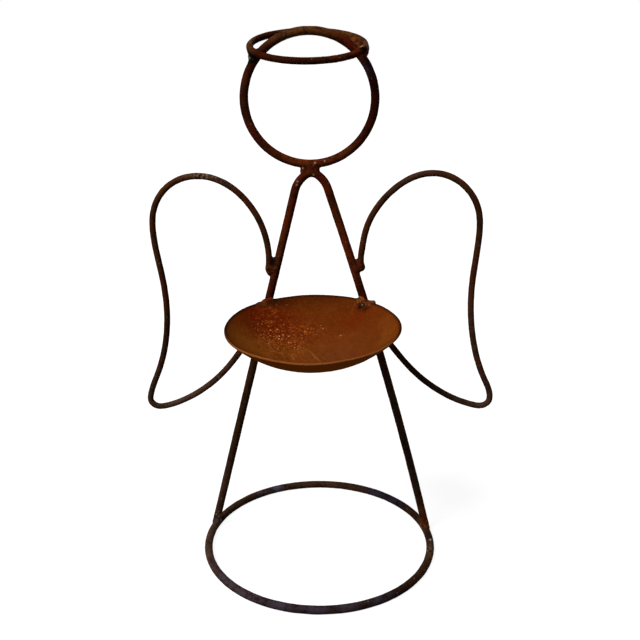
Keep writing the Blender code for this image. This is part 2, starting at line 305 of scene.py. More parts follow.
def rodPaint(name, look, gloss):
    # rust: red-brown above and dark brown below, with golden, ashen and black places and pale flecks;
    # the black also paints shade, some golden and ashen places paint light on shaded parts, the flecks
    # are partly painted glints, and there are painted glints and a painted blue-grey sheen
    paint = Paint(name)
    tones = {key: srgb(*value) for key, value in look.items()}
    level = paint.node("SeparateXYZ", None, {0: paint.place}, "Z")
    broad = paint.noise(26 * mm, 2.0, warp=0.4)
    cloud = paint.noise(5 * mm, 3.0, 0.55)
    grain = paint.noise(1.3 * mm, 3.0, 0.6)
    upper = paint.step(level + (broad - 0.5) * 0.10, 0.09, 0.20)
    color = paint.blend(upper, tones["low"], tones["brown"])
    color = paint.blend(paint.step(broad * 0.6 + cloud * 0.4, 0.40, 0.58) * upper, color, tones["red"])
    color = paint.blend(paint.mask("golden") * (0.4 + cloud), color, tones["golden"])
    color = paint.blend(paint.mask("red") * (0.4 + cloud), color, tones["bright"])
    color = paint.blend(paint.mask("ashAndPaintedLight") * (0.35 + cloud), color, tones["ashAndPaintedLight"])
    dark = paint.step(cloud * 0.45 + grain * 0.55, 0.54, 0.38)
    color = paint.blend(dark * 0.66, color, tones["deep"])
    color = paint.blend((paint.mask("sootAndShade") * (grain + 0.6)).clip(), color, tones["sootAndShade"])
    paintedSheen = (paint.mask("paintedSheen") * paint.step(cloud * 0.6 + grain * 0.4, 0.36, 0.56)).clip()
    color = paint.blend(paintedSheen * 0.85, color, tones["paintedSheen"])
    flake = 1.4 * mm
    dots = paint.step(paint.cells(flake), 0.34, 0.16)
    chosen = paint.step(paint.cellTone(flake), 0.70, 0.78)
    stray = paint.step(paint.cellTone(flake), 0.965, 0.975) * 0.4
    crumbs = paint.step(grain, 0.50, 0.58) * paint.mask("fleckAndGlint") * 0.5
    fleckAndGlint = dots * (chosen * paint.mask("fleckAndGlint") + stray) + crumbs
    color = paint.blend(fleckAndGlint.clip() * 0.85, color, tones["fleckAndGlint"])
    color = paint.blend(paint.mask("paintedGlint"), color, tones["paintedGlint"])
    paint.height(grain * 0.5 + cloud * 0.4 - dark * 0.2 + fleckAndGlint * 0.3, 0.10 * mm)
    return paint.dress(color, (0.42 + grain * 0.3).clip(), gloss)


# Rods

# size and height in mm, seed, and for scale and pits the levels between which they show
rodRelief = {
    "waves": (7.0, 0.045, 3), "ripples": (2.4, 0.025, 4), "grain": (1.0, 0.016, 5),
    "scale": (4.2, 0.045, 6, (0.10, 0.28)), "pits": (1.9, -0.085, 7, (0.38, 0.75)),
}
endSteps = ((0.97, 0.05), (0.90, 0.12), (0.62, 0.19), (0.28, 0.22))  # share of the radius, rise


def rustSkin(points):
    # how far the rusted skin stands off the true round
    return sum(relief(points, *values) for values in rodRelief.values())


def rodGrid(path, normal, radius, around, closed):
    # a circle carried along a flat path, with filed-off ends where the path isn't closed
    if closed:
        heading = unit(np.roll(path, -1, 0) - np.roll(path, 1, 0))
    else:
        heading = unit(np.gradient(path, axis=0))
    side = np.cross(heading, normal)
    turn = np.linspace(0, 2 * np.pi, around, endpoint=False)
    spoke = (np.cos(turn)[None, :, None] * normal
             + np.sin(turn)[None, :, None] * side[:, None, :])
    skin = path[:, None] + radius * spoke
    skin = skin + rustSkin(skin)[..., None] * spoke
    if not closed:
        skin = np.concatenate([roundEnd(skin[:1], path[0], -heading[0], radius)[::-1], skin,
                               roundEnd(skin[-1:], path[-1], heading[-1], radius)])
    return skin


def roundEnd(rim, middle, out, radius):
    # shrinking copies of the rod's last circle, each a little further out: a filed-off end
    return np.stack([middle + (rim[0] - middle) * share + out * rise * radius
                     for share, rise in endSteps])


def nearMask(grid, center, reach):
    # 1 at the centre, falling away over its reach
    return np.exp(-(np.linalg.norm(grid - center, axis=-1) / reach) ** 2)


# The body's lines, in the upright plane behind the hub

body = {
    "setback": 18.0 * mm, "baseRadius": 75.0 * mm, "crownHeight": 249.9 * mm,
    "crownShift": -5.8 * mm, "crownRadius": 6.2 * mm, "shoulderRadius": 17.0 * mm,
    "crownTurn": math.radians(35), "bow": {-1: 0.1 * mm, 1: 2.8 * mm}, "facets": 14,
}
baseHeight = stock["mainRadius"] * math.cos(math.pi / body["facets"])
footReach = math.sqrt(body["baseRadius"] ** 2 - body["setback"] ** 2)


def legEnds(side):
    # as (x, z): the leg's foot, where it meets its shoulder arc, and the arcs' centres
    lean = math.atan2(footReach, body["crownHeight"])
    rise = stock["mainRadius"] * (1 + math.sin(lean)) + stock["gap"]
    foot = np.array([side * footReach, baseHeight + rise])
    crown = np.array([body["crownShift"], body["crownHeight"] - body["crownRadius"]])
    bend = np.array([side * math.sin(body["crownTurn"]), math.cos(body["crownTurn"])])
    shoulder = crown - (body["shoulderRadius"] - body["crownRadius"]) * bend
    down = foot - shoulder
    turn = math.atan2(down[1], down[0])
    turn += side * math.acos(body["shoulderRadius"] / np.linalg.norm(down))
    leave = shoulder + body["shoulderRadius"] * np.array([math.cos(turn), math.sin(turn)])
    return foot, leave, shoulder, crown


def legX(side, z):
    # a straight leg that bows outwards by 4 t (1 - t) of its bow
    foot, leave, _, _ = legEnds(side)
    t = (z - foot[1]) / (leave[1] - foot[1])
    bow = body["bow"][side] * 4 * t * np.maximum(0.0, 1 - t)
    return foot[0] + t * (leave[0] - foot[0]) + side * bow


def legLean(side):
    foot, leave, _, _ = legEnds(side)
    return math.atan2(abs(leave[0] - foot[0]), leave[1] - foot[1])


def arc(center, radius, side, first, last):
    # part of a circle, turning from straight up towards that side
    turn = np.linspace(first, last, mesh["arcPoints"])
    return center + radius * np.stack([side * np.sin(turn), np.cos(turn)], axis=1)


def halfBody(side):
    # crown arc, shoulder arc, then the leg with its bow
    foot, leave, shoulder, crown = legEnds(side)
    last = math.atan2((leave - shoulder)[0] * side, (leave - shoulder)[1])
    z = np.linspace(leave[1], foot[1], mesh["legPoints"])
    return np.vstack([
        arc(crown, body["crownRadius"], side, 0, body["crownTurn"]),
        arc(shoulder, body["shoulderRadius"], side, body["crownTurn"], last)[1:],
        np.stack([legX(side, z), z], axis=1)[1:]])


def upright(flat):
    flat = np.asarray(flat)
    return np.stack([flat[..., 0], np.full(flat.shape[:-1], body["setback"]), flat[..., 1]], -1)


def bodyPath():
    return evenSteps(upright(np.vstack([halfBody(-1)[::-1], halfBody(1)[1:]])), mesh["step"])


head = {"halfWidth": 39.0 * mm, "halfHeight": 38.5 * mm, "shift": -1.3 * mm}
headCenter = np.array([
    body["crownShift"] + head["shift"], body["setback"],
    body["crownHeight"] + 2 * stock["mainRadius"] + stock["gap"] + head["halfHeight"]])


def headPoint(turn, out=0.0):
    # a point of the head ring's axis, an ellipse, moved straight out from it
    cos, sin = np.cos(turn), np.sin(turn)
    flat = np.zeros_like(cos)
    normal = unit(np.stack([cos / head["halfWidth"], flat, sin / head["halfHeight"]], -1))
    ring = np.stack([head["halfWidth"] * cos, flat, head["halfHeight"] * sin], -1)
    return headCenter + ring + out * normal


halo = {
    "contactTurn": math.radians(42.5), "shift": -1.25 * mm, "backset": 4.1 * mm,
    "tilt": math.radians(12.4),
}


def haloPlace():
    # the circle's middle and radius: at its right it rests against the head ring
    reach = stock["mainRadius"] + stock["thinRadius"] + stock["gap"]
    contact = headPoint(np.array(halo["contactTurn"]), reach)
    halfChord = contact[0] - headCenter[0] - halo["shift"]
    center = np.array([
        headCenter[0] + halo["shift"],
        body["setback"] + halo["backset"] * math.cos(halo["tilt"]),
        contact[2] + halo["backset"] * math.sin(halo["tilt"])])
    return center, math.hypot(halfChord, halo["backset"])


dish = {
    "radius": 51.4 * mm, "depth": 20.2 * mm, "height": 167.7 * mm, "floorRadius": 15.0 * mm,
    "sheet": 1.2 * mm, "tilt": math.radians(3.4), "roll": math.radians(0.9),
    "columns": 420, "grain": 0.62 * mm, "hole": 0.4 * mm, "edgeSteps": 9, "edgeBulge": 0.55,
}


def dishCurve():
    # the bowl is part of a ball: its radius, its middle's height, and the angles to rim and floor
    level = (dish["radius"] ** 2 - dish["floorRadius"] ** 2 - dish["depth"] ** 2)
    level /= 2 * dish["depth"]
    radius = math.hypot(dish["radius"], level)
    rimTurn = math.atan2(dish["radius"], level)
    floorTurn = math.atan2(dish["floorRadius"], level + dish["depth"])
    return radius, level, rimTurn, floorTurn


def dishPlace():
    # the middle of the rim: its back edge, raised by the tilt, touches both legs
    edge = dish["radius"] + dish["sheet"] * math.sin(dishCurve()[2])
    reach = edge + stock["mainRadius"] + stock["gap"]
    back = reach
    for _ in range(4):
        z = dish["height"] + back * math.tan(dish["tilt"])
        left, right = legX(-1, z), legX(1, z)
        back = math.sqrt(reach**2 - ((right - left) / 2) ** 2)
    return np.array([(left + right) / 2, body["setback"] - back, dish["height"]])


def dishTurn():
    turned = Matrix.Rotation(-dish["roll"], 3, "Y") @ Matrix.Rotation(dish["tilt"], 3, "X")
    return np.array(turned)


wings = {
    -1: {"rise": 22.3 * mm, "drop": 21.7 * mm, "way": [
        (0.8, 26.8), (2.9, 33.8), (10.2, 48.6), (20.9, 62.0), (34.1, 72.6), (49.2, 78.9),
        (64.0, 78.8), (75.3, 71.6), (79.9, 58.7), (77.6, 43.8), (65.8, 13.4), (57.1, -18.3),
        (56.6, -49.5), (58.8, -66.4), (57.9, -71.4), (54.2, -74.8), (46.0, -74.7), (32.3, -68.3),
        (20.7, -58.8), (11.5, -46.6), (4.2, -31.7)]},
    1: {"rise": 23.5 * mm, "drop": 20.7 * mm, "way": [
        (0.8, 27.3), (3.6, 34.3), (11.3, 48.9), (22.7, 62.4), (36.6, 73.5), (51.8, 81.1),
        (65.8, 82.4), (77.7, 76.3), (83.3, 61.1), (79.0, 43.5), (66.6, 12.8), (58.5, -19.4),
        (58.6, -51.6), (59.4, -63.9), (57.6, -67.9), (54.7, -70.1), (45.4, -70.0), (32.1, -64.2),
        (20.7, -55.3), (11.6, -44.0), (4.1, -29.8)]},
}


def wingPath(side):
    # a spline from the leg round the wing's knots, in mm from the leg and the dish, and back
    wing = wings[side]
    touch = (stock["mainRadius"] + stock["thinRadius"] + stock["gap"]) / math.cos(legLean(side))
    stops = [(0.0, dish["height"] + wing["rise"])]
    stops += [(out * mm, dish["height"] + up * mm) for out, up in wing["way"]]
    stops.append((0.0, dish["height"] - wing["drop"]))
    knots = [(legX(side, z) + side * (touch + out), z) for out, z in stops]
    return evenSteps(naturalSpline(upright(knots), mesh["splinePoints"]), mesh["step"])


# For each bead in mm: half its room's size, how wide two skins run together, and its drops

beads = {
    "neck": {"room": (9.0, 5.5, 6.5), "blend": 4.2, "balls": [((-10.8, 18.0, 250.9), 1.9)]},
    "halo_left": {"room": (8.5, 7.5, 8.0), "blend": 3.2, "turn": math.radians(5.4),
                  "balls": [((-39.8, 17.2, 319.3), 2.6), ((-40.3, 15.0, 320.5), 2.2),
                            ((-40.2, 16.5, 317.5), 2.1)]},
    "halo_right": {"room": (9.5, 9.5, 9.5), "blend": 2.6, "turn": math.radians(3.2),
                   "balls": [((21.9, 20.2, 324.6), 2.3), ((25.4, 20.0, 322.0), 2.2),
                             ((19.8, 22.6, 326.2), 2.5), ((17.6, 24.6, 327.2), 2.0),
                             ((25.5, 17.5, 320.2), 2.1)]},
    "wing_top_left": {"room": (9.5, 6.0, 6.5), "blend": 3.4,
                      "balls": [((-33.2, 18.0, 188.3), 1.8), ((-32.2, 18.0, 186.3), 1.8)]},
    "wing_top_right": {"room": (7.5, 6.0, 6.5), "blend": 2.8,
                       "balls": [((25.7, 18.0, 190.4), 1.95)]},
    "wing_foot": {"room": (8.5, 5.5, 6.0), "blend": 3.4, "balls": []},
    "foot_left": {"room": (6.2, 6.0, 6.2), "blend": 2.8, "balls": [((-73.8, 17.0, 3.6), 1.7)]},
    "foot_right": {"room": (6.2, 6.0, 6.2), "blend": 2.8, "balls": [((74.9, 17.0, 2.6), 1.7)]},
    "dish_left": {"room": (8.0, 6.0, 5.0), "blend": 2.6, "shift": 6.0 * mm,
                  "balls": [((-35.2, 12.2, 168.5), 2.0)]},
    "dish_right": {"room": (9.0, 6.0, 5.5), "blend": 2.4, "shift": 4.4 * mm,
                   "balls": [((33.3, 9.2, 170.0), 1.8), ((29.6, 11.0, 169.0), 1.9),
                             ((26.4, 11.6, 168.6), 1.5)]},
    "haloOut": 3.6 * mm, "haloBack": 1.5 * mm, "footShift": 0.4 * mm, "dishDrop": 0.5 * mm,
}


def weldPlaces():
    # each weld's kind, its middle, the turn of its length from +X, and its turn about the upright
    places = {}
    gap = stock["gap"]
    neckZ = body["crownHeight"] + stock["mainRadius"] + gap / 2
    places["neck_weld"] = ("neck", (headCenter[0], body["setback"], neckZ), 0.0, 0.0)
    rim = dishPlace()
    for side, word in ((-1, "left"), (1, "right")):
        leg = math.pi / 2 + side * legLean(side)
        foot = legEnds(side)[0]
        at = (foot[0] - side * beads["footShift"], body["setback"], foot[1] + gap)
        places["foot_weld_" + word] = ("foot_" + word, at, leg, 0.0)
        contact = halo["contactTurn"] if side > 0 else math.pi - halo["contactTurn"]
        turn = contact + beads["halo_" + word]["turn"]
        at = headPoint(np.array(turn), beads["haloOut"])
        at = at + np.array([0, beads["haloBack"] * (side > 0), 0])
        places["halo_weld_" + word] = ("halo_" + word, at, turn, 0.0)
        inset = (stock["mainRadius"] + gap / 2) / math.cos(legLean(side))
        for end, z in (("top", dish["height"] + wings[side]["rise"]),
                       ("foot", dish["height"] - wings[side]["drop"])):
            kind = "wing_top_" + word if end == "top" else "wing_foot"
            at = (legX(side, z) + side * inset, body["setback"], z)
            places["wing_%s_weld_%s" % (end, word)] = (kind, at, leg, 0.0)
        rimBack = dish["height"] + (body["setback"] - rim[1]) * math.tan(dish["tilt"])
        toward = (legX(side, rimBack) - rim[0], body["setback"] - rim[1])
        face = math.atan2(toward[1], toward[0]) - math.pi / 2
        face -= side * beads["dish_" + word]["shift"] / dish["radius"]
        reach = dish["radius"] + gap / 2
        across = np.array([-math.sin(face) * reach, math.cos(face) * reach, 0.0])
        across[2] = math.tan(dish["tilt"]) * across[1] + math.tan(dish["roll"]) * across[0]
        across[2] -= beads["dishDrop"]
        places["dish_weld_" + word] = ("dish_" + word, rim + across, 0.0, face)
    return places


weldAt = weldPlaces()


def makeRod(node, slot, path, normal, closed, paint, spots):
    thin = slot == "rusted_thin_rod"
    radius = stock["thinRadius"] if thin else stock["mainRadius"]
    around = mesh["thinAround"] if thin else mesh["mainAround"]
    grid = rodGrid(path, np.array(normal), radius, around, closed)
    masks = spotMasks(grid, ("sootAndShade", "paintedSheen", "fleckAndGlint", "ashAndPaintedLight", "golden", "red", "paintedGlint"), spots)
    return finishPiece(closedMesh(node + "_rusted", grid, closed, masks), paint, slot, node)


def fullTurn(count):
    return np.linspace(0, 2 * np.pi, count, endpoint=False)


def ringPath(center, radius, tilt):
    # a circle leaned back about +X
    turn = fullTurn(mesh["ringPoints"])
    flat = np.stack([np.cos(turn), np.sin(turn) * math.cos(tilt), np.sin(turn) * math.sin(tilt)], -1)
    return evenSteps(np.asarray(center) + radius * flat, mesh["step"], closed=True)


def onBase(degrees, up=4.0):
    # a place on the base ring, by its angle from +X and its height in mm
    turn = math.radians(degrees)
    reach = body["baseRadius"]
    return np.array([reach * math.cos(turn), reach * math.sin(turn), up * mm])


def spot(x, y, z):
    return np.array([x, y, z]) * mm


def spotMasks(grid, names, spots):
    # for each kind of patch, how strongly it shows at each point of a piece
    masks = {name: np.zeros(grid.shape[:2]) for name in names}
    for name, center, reach, amount in spots:
        masks[name] = np.maximum(masks[name], nearMask(grid, center, reach * mm) * amount)
    return masks


# Where the colour differs along the rods, by rust and by painted shade, light, glints and sheen: what
# it is, where, how far it reaches in mm, how much

baseSpots = [
    ("ashAndPaintedLight", spot(0, 0, 0), 190, 0.38), ("ashAndPaintedLight", onBase(188), 34, 1.0), ("ashAndPaintedLight", onBase(172), 16, 1.0),
    ("golden", onBase(14), 9, 0.7), ("golden", onBase(30), 9, 0.3), ("golden", onBase(85), 30, 0.3),
    ("golden", onBase(340), 22, 0.3), ("fleckAndGlint", onBase(352), 8, 0.5),
    # Painted shade on the ring's low front.
    ("sootAndShade", onBase(305, 0), 40, 0.6), ("sootAndShade", onBase(268, 0), 46, 0.35),
    ("sootAndShade", onBase(50), 22, 0.7), ("sootAndShade", onBase(3), 9, 0.5),
    # A painted glint.
    ("paintedGlint", spot(75.2, -0.7, 5.1), 0.8, 0.9),
]
# Painted sheen: blue-grey reflection patches along the ring.
baseSpots += [("paintedSheen", onBase(turn, up), reach, amount) for turn, up, reach, amount in (
    (119, 5, 5, 1.0), (128, 5, 4, 0.5), (57, 4, 7, 0.4), (46, 4, 12, 0.28), (207, 0, 10, 0.2),
    (222, 2, 12, 0.35), (238, 3, 12, 0.42), (254, 4, 11, 0.34), (270, 5, 10, 0.28),
    (285, 6, 10, 0.28), (300, 6, 9, 0.28))]
# Painted shade along the lower side of the front arc.
baseSpots += [("sootAndShade", onBase(turn, -1), 7, 1.0) for turn in range(246, 337, 5)]
bodySpots = [
    ("golden", spot(-24, 18, 200), 26, 0.25), ("golden", spot(7, 18, 215), 30, 0.2),
    ("fleckAndGlint", spot(-71, 16, 9), 4, 1.0), ("red", spot(14, 18, 195), 34, 0.5),
    ("red", spot(69.5, 16, 12), 9, 0.8), ("golden", spot(70, 16, 12), 9, 1.0),
    # Painted glints on the neck.
    ("paintedGlint", spot(-4.6, 15.5, 249.1), 0.45, 0.7), ("paintedGlint", spot(-14.4, 15.5, 245.0), 0.4, 0.6),
    ("paintedGlint", spot(-14.8, 15.4, 243.0), 0.4, 0.6),
    # Painted light: the second ash patch and the golden one after it lift the right leg where the
    # dish's shade falls.
    ("ashAndPaintedLight", spot(-66, 18, 30), 22, 0.4), ("ashAndPaintedLight", spot(56, 18, 75), 46, 0.85),
    ("golden", spot(56, 18, 88), 30, 0.5), ("sootAndShade", spot(-32.0, 18, 173), 4, 0.5),
    ("sootAndShade", spot(24.5, 18, 176), 6, 0.5), ("sootAndShade", spot(-28, 18, 184), 6, 0.35),
]
headSpots = [
    ("golden", spot(-13, 18, 333), 16, 1.0), ("golden", spot(2, 18, 333), 9, 0.7),
    ("golden", spot(-7, 18, 254), 18, 0.45), ("golden", spot(14, 18, 261), 14, 0.3),
    # The soot patches here at the two halo welds are painted shade.
    ("red", spot(-7, 18, 254), 20, 0.8), ("sootAndShade", spot(-38.5, 18, 318), 6, 0.8),
    ("sootAndShade", spot(24, 18, 322), 5, 0.5), ("sootAndShade", spot(32, 18, 292), 24, 0.55),
    # Painted light on the head ring's left side.
    ("ashAndPaintedLight", spot(-46, 18, 294), 22, 0.15),
    ("sootAndShade", spot(30, 18, 276), 10, 0.4), ("sootAndShade", spot(-44, 17, 288), 8, 0.3),
    # A painted sheen and painted glints.
    ("paintedSheen", spot(25.4, 16, 311), 4, 0.5), ("paintedGlint", spot(-3.7, 15.5, 256.4), 0.45, 0.8),
    ("paintedGlint", spot(2.2, 15.6, 257.6), 0.4, 0.5),
]
haloSpots = [
    ("golden", spot(12, 46, 329), 14, 0.8), ("golden", spot(-10, 54, 330), 18, 0.5),
    ("golden", spot(21, 34, 326), 9, 0.5), ("sootAndShade", spot(-8, -13, 314), 30, 0.25),
    # The soot patches at the halo's left end are painted shade.
    ("sootAndShade", spot(-39, 11, 318), 5, 0.9), ("golden", spot(-41, 12, 324), 8, 0.8),
    ("sootAndShade", spot(-34, 2, 318), 6, 0.4), ("fleckAndGlint", spot(-41, 24, 323), 7, 0.9),
    # The red patch at the front right is painted light on the halo's shaded underside.
    ("golden", spot(8, -7, 318), 10, 0.25), ("red", spot(19, 0, 318), 11, 0.7),
    # A pit at the right weld: painted shade with a painted glint.
    ("sootAndShade", spot(23.3, 9.0, 322.9), 3.0, 1.0), ("paintedGlint", spot(22.9, 13.0, 323.9), 1.2, 1.0),
]
wingSpots = {
    -1: [("fleckAndGlint", spot(-73, 16, 248), 6, 0.9), ("fleckAndGlint", spot(-65, 16, 246), 5, 0.5),
         ("ashAndPaintedLight", spot(-92, 18, 92), 24, 0.9), ("ashAndPaintedLight", spot(-68, 18, 106), 18, 0.6),
         ("ashAndPaintedLight", spot(-70, 16, 248), 13, 0.9), ("sootAndShade", spot(-101, 18, 150), 22, 0.3),
         ("golden", spot(-84, 18, 245), 10, 0.25), ("golden", spot(-96, 18, 238), 9, 0.2)],
    1: [("ashAndPaintedLight", spot(100, 18, 97), 20, 0.55), ("ashAndPaintedLight", spot(60, 18, 248), 16, 0.35),
        ("ashAndPaintedLight", spot(97, 18, 150), 18, 0.4),
        ("sootAndShade", spot(92, 18, 226), 26, 0.25), ("sootAndShade", spot(44, 18, 236), 16, 0.15),
        ("golden", spot(82, 18, 246), 10, 0.2)],
}

rodPaintMain = rodPaint("rusted_rod", rodLook, gloss=0.008)
rodPaintThin = rodPaint("rusted_thin_rod", thinLook, gloss=0.006)
rodPaintHalo = rodPaint("rusted_halo_rod", haloLook, gloss=0.0)

basePath = ringPath((0, 0, baseHeight), body["baseRadius"], 0.0)
headPath = evenSteps(headPoint(fullTurn(mesh["ringPoints"])), mesh["step"], closed=True)
haloPath = ringPath(*haloPlace(), halo["tilt"])
haloNormal = (0, -math.sin(halo["tilt"]), math.cos(halo["tilt"]))

makeRod("base_ring", "rusted_rod", basePath, (0, 0, 1), True, rodPaintMain, baseSpots)
makeRod("body_rod", "rusted_rod", bodyPath(), (0, 1, 0), False, rodPaintMain, bodySpots)
makeRod("head_ring", "rusted_rod", headPath, (0, 1, 0), True, rodPaintMain, headSpots)
makeRod("halo_ring", "rusted_thin_rod", haloPath, haloNormal, True, rodPaintHalo, haloSpots)
for side, word in ((-1, "left"), (1, "right")):
    makeRod("wing_" + word, "rusted_thin_rod", wingPath(side), (0, 1, 0), False, rodPaintThin,
            wingSpots[side])


# Dish

# Besides rust, the under tone paints light on the underside, the rim tone a highlight on the front
# edge, and the edge tone and a dull brown one paint shade.
dishLook = {
    "rust": (100, 44, 8), "red": (92, 26, 2), "golden": (126, 68, 20), "deep": (62, 22, 4),
    "paintedShade": (64, 25, 4), "plum": (104, 53, 24), "sootAndShade": (18, 7, 3), "fleckAndGlint": (210, 128, 76),
    "grit": (168, 84, 36), "scratch": (142, 86, 30), "rim": (124, 74, 38), "edge": (24, 10, 4),
    "under": (140, 68, 13),
}


def dishPaint(look):
    # rust sheet: orange-brown, redder at its left, with scratches, light flecks that are partly painted
    # glints, and burns; painted shade along the rim, on the right and back and in a pit by a weld, a
    # painted highlight on the front rim, and painted light on the underside and the left front
    paint = Paint("rusted_sheet")
    tones = {key: srgb(*value) for key, value in look.items()}
    broad = paint.noise(24 * mm, 3.0, 0.5, warp=0.5)
    cloud = paint.noise(6 * mm, 4.0, 0.6)
    grain = paint.noise(1.5 * mm, 4.0, 0.65)
    rough = paint.mask("rough")
    color = paint.blend(paint.step(broad, 0.44, 0.66) * 0.35, tones["rust"], tones["golden"])
    # Painted shade on the right and back of the bowl.
    color = paint.blend(paint.mask("paintedShade") * (0.6 + cloud * 0.8), color, tones["paintedShade"])
    color = paint.blend(paint.mask("plum") * (0.3 + cloud), color, tones["plum"])
    # Golden patches, which at the left front also paint light.
    color = paint.blend((paint.mask("golden") * (0.4 + cloud)).clip(), color, tones["golden"])
    color = paint.blend((paint.mask("red") * (0.5 + cloud)).clip(), color, tones["red"])
    pitted = paint.step(cloud * 0.35 + grain * 0.65, 0.52, 0.36)
    color = paint.blend(pitted * (rough * 0.46 + 0.22), color, tones["deep"])
    bright = paint.step(cloud * 0.35 + grain * 0.65, 0.50, 0.66)
    color = paint.blend(bright * (rough * 0.50 + 0.18), color, tones["golden"])
    # Painted light on the underside.
    color = paint.blend(paint.mask("under"), color, tones["under"])
    color = paint.blend((paint.mask("sootAndShade") * (grain + 0.6)).clip(), color, tones["sootAndShade"])
    crumb, flake = 1.3 * mm, 1.9 * mm
    grit = paint.step(paint.cells(crumb), 0.42, 0.20) * paint.step(paint.cellTone(crumb), 0.5, 0.6)
    grit = (grit * (paint.mask("fleckAndGlint") + rough * 0.35)).clip()
    color = paint.blend(grit * 0.7, color, tones["grit"])
    crumbs = paint.step(grain * 0.7 + cloud * 0.3, 0.55, 0.63) * paint.mask("fleckAndGlint")
    color = paint.blend(crumbs.clip() * 0.6, color, tones["grit"])
    # Light flecks, partly painted glints.
    dots = paint.step(paint.cells(flake) + (grain - 0.5) * 0.8, 0.42, 0.14)
    chosen = paint.step(paint.cellTone(flake), 0.56, 0.70)
    fleckAndGlint = (dots * chosen * paint.mask("fleckAndGlint")).clip()
    color = paint.blend(fleckAndGlint * 0.85, color, tones["fleckAndGlint"])
    scratch = (paint.mask("scratch") * paint.step(grain, 0.32, 0.50)).clip()
    color = paint.blend(scratch * 0.65, color, tones["scratch"])
    # Painted highlight on the front rim.
    color = paint.blend((paint.mask("rim") * (0.35 + cloud)).clip(), color, tones["rim"])
    # Painted shade along the rim's edge.
    color = paint.blend((paint.mask("edge") * (0.5 + cloud)).clip(), color, tones["edge"])
    paint.height(grain * 0.4 + cloud * 0.7 + fleckAndGlint * 0.7 - scratch * 0.2, 0.13 * mm)
    return paint.dress(color, (0.45 + grain * 0.3).clip(), gloss=0.0)


def dishProfile():
    # from the middle of the floor out to the rim, round its edge, and back underneath, as (r, z)
    radius, level, rimTurn, floorTurn = dishCurve()
    sheet, step = dish["sheet"], dish["grain"]
    flat = np.arange(dish["hole"], dish["floorRadius"], step)
    turns = np.linspace(floorTurn, rimTurn, int(radius * (rimTurn - floorTurn) / step))
    upper = np.stack([radius * np.sin(turns), level - radius * np.cos(turns)], 1)
    outer = radius + sheet
    lower = np.stack([outer * np.sin(turns), level - outer * np.cos(turns)], 1)[::-1]
    middle = (upper[-1] + lower[0]) / 2
    spin = np.linspace(0, math.pi, dish["edgeSteps"])[1:-1, None]
    along = np.array([math.cos(rimTurn), math.sin(rimTurn)]) * sheet / 2 * dish["edgeBulge"]
    edge = middle + np.cos(spin) * (upper[-1] - middle) + np.sin(spin) * along
    floorTop = np.stack([flat, np.full(len(flat), upper[0, 1])], 1)
    under = flat[::-2] * (lower[-1, 0] / dish["floorRadius"])
    floorUnder = np.stack([under, np.full(len(under), lower[-1, 1])], 1)
    profile = np.vstack([floorTop, upper, edge, lower[::2], lower[-1:], floorUnder])
    face = np.concatenate([np.zeros(len(floorTop) + len(upper)), np.full(len(edge), 0.5),
                           np.ones(len(lower[::2]) + 1 + len(floorUnder))])
    return profile, face


def fadeLine(flat, start, end, width):
    # 1 on a straight scratch between two points, falling away over its width
    start, end = np.array(start) * mm, np.array(end) * mm
    run = end - start
    t = np.clip(((flat - start) @ run) / (run @ run), 0, 1)
    distance = np.linalg.norm(flat - (start + t[..., None] * run), axis=-1)
    return np.exp(-(distance / (width * mm)) ** 2)


def patches(x, y, spots):
    # the sum of round patches, each a place, two reaches and an amount
    total = np.zeros(x.shape)
    for across, along, wide, deep, amount in spots:
        total += amount * np.exp(-(((x - across) / wide) ** 2 + ((y - along) / deep) ** 2))
    return np.clip(total, 0, 1)


# Across and along the dish in mm, two reaches in mm, amount

dishSpots = {
    # Light flecks, partly painted glints.
    "fleckAndGlint": [(-27, 20, 9, 9, 0.9), (-18, 20, 8, 8, 0.8), (-26, 6, 7, 6, 0.7), (-6, 29, 7, 4, 0.8),
              (-12, 14, 6, 6, 0.6), (-16, -2, 7, 6, 0.4), (-28, 38, 6, 5, 0.3), (3.5, 30.5, 2, 2, 1.0),
              (15.8, 22.7, 2, 2, 0.9)],
    "red": [(-36, 26, 17, 15, 0.9), (-22, 34, 16, 10, 0.6), (26, 32, 12, 9, 0.6),
            (-10, 22, 22, 12, 0.2)],
    # The golden patches at the left front also paint light there.
    "golden": [(-46, -10, 10, 14, 0.8), (-26, -32, 20, 12, 0.7), (20, -36, 24, 11, 0.4),
               (46, -6, 8, 20, 0.3), (-35, -4, 13, 13, 0.95), (-14, 6, 12, 8, 0.4)],
    # Painted shade on the right and back of the bowl.
    "paintedShade": [(34, 18, 24, 38, 0.27), (6, 52, 46, 7, 0.9), (-19, 46, 9, 5, 0.5), (4, 34, 34, 12, 0.3)],
    "plum": [(-2, -30, 22, 16, 0.6), (12, 4, 22, 22, 0.7)],
    "rough": [(-20, 14, 20, 24, 1.0), (-6, -20, 16, 14, 0.3), (27, 40, 10, 4, 0.7)],
    # Burns by the welds, with painted shade in the pit at the right weld.
    "sootAndShade": [(-28.5, 41.5, 4.0, 3.0, 0.65), (28.5, 39.0, 2.2, 2.0, 1.0), (22, 41, 7, 3, 0.25),
             (-23, 44.0, 6, 2.5, 0.5), (33, 36, 5, 2, 0.3), (31.5, 35.5, 1.6, 1.2, 0.5)],
}
